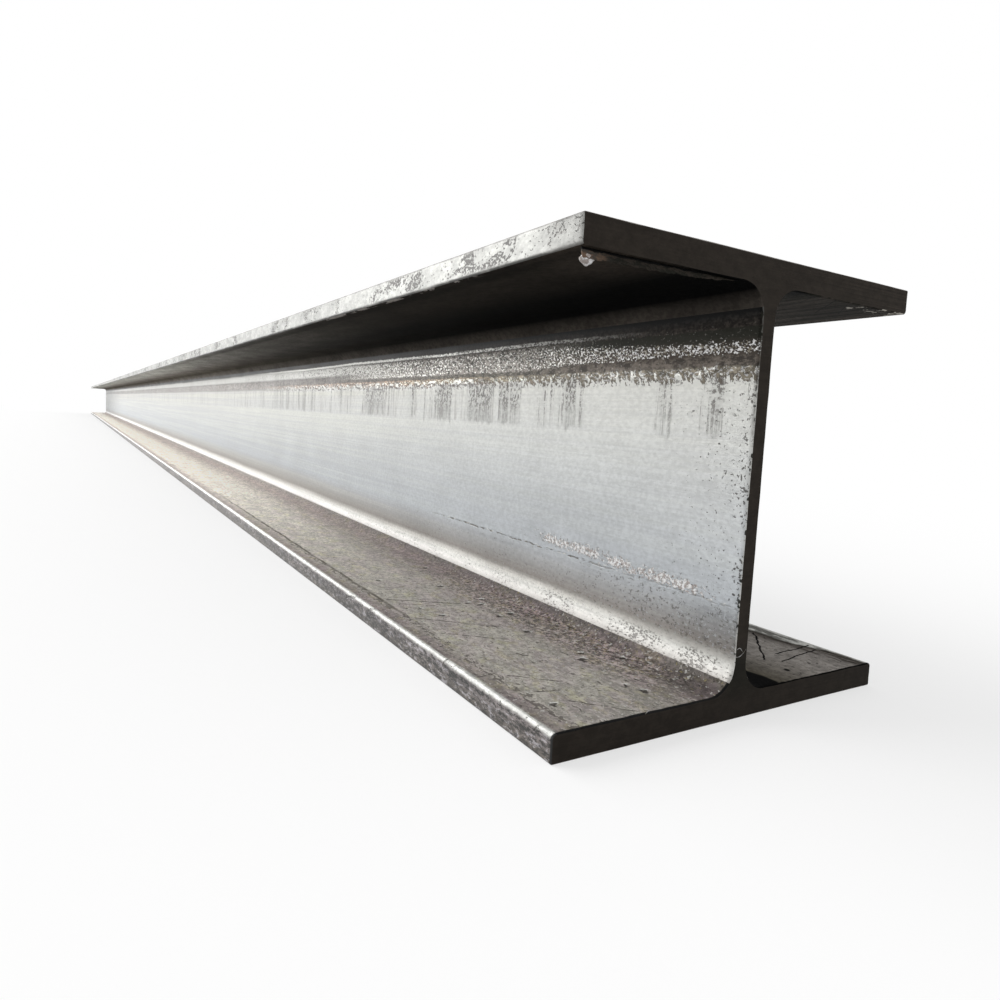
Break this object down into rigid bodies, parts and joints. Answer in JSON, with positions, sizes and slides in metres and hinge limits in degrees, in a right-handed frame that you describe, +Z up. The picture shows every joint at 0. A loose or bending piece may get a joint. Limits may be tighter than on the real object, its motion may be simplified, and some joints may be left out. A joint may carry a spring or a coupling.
{
  "type": "wide-flange steel beam",
  "caption": "Hot-rolled steel beam with wide parallel flanges, a thin web and rounded roots, sawn square at both ends, lying on a flange.",
  "frame": {"origin": "middle of the face that the beam lies on: half way along it and half way across its flanges", "axes": "+X along the beam, +Y across the flanges, +Z up from the lower flange to the upper one"},
  "size_m": [6, 0.2, 0.2],
  "materials": {
    "rolled_steel": "bare hot-rolled steel with mill scale, handling scratches and some rust"
  },
  "bodies": {
    "root": {"h_beam": "rolled_steel"}
  },
  "joints": []
}
